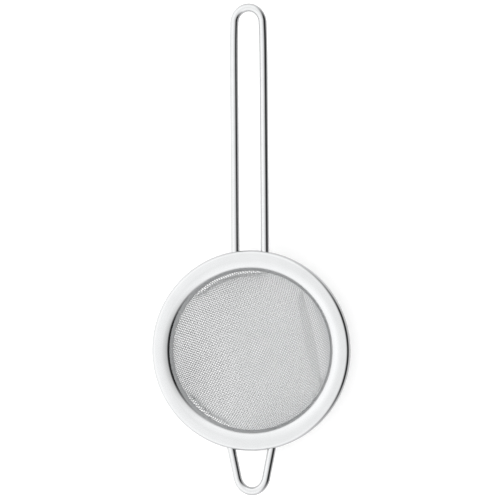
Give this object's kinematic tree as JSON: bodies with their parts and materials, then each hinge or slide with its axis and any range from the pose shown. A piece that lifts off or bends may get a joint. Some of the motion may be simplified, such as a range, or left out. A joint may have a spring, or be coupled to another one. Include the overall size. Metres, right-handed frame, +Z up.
{
  "type": "tea strainer",
  "caption": "Round wire-cloth tea strainer with a hollow polished rim, a long hairpin wire handle and a short support hook opposite it.",
  "frame": {"origin": "middle of the whole length and width, level with the lowest point of the cup", "axes": "+Z up along the cup's axis with the rim level, +Y along the handle towards its free end, +X across the handle"},
  "size_m": [0.08, 0.1964, 0.0217],
  "materials": {
    "polished_steel": "mirror-polished stainless steel",
    "pressed_steel": "bright rolled stainless steel sheet",
    "wire_cloth": "plain-woven stainless steel wire cloth",
    "wire_steel": "polished drawn stainless steel wire",
    "weld_steel": "bare weld metal"
  },
  "bodies": {
    "root": {"rim_shell": "polished_steel", "base_ring": "pressed_steel", "mesh_cup": "wire_cloth", "handle_wire": "wire_steel", "support_hook": "wire_steel", "handle_weld_left": "weld_steel", "handle_weld_right": "weld_steel", "hook_weld_left": "weld_steel", "hook_weld_right": "weld_steel"}
  },
  "joints": []
}
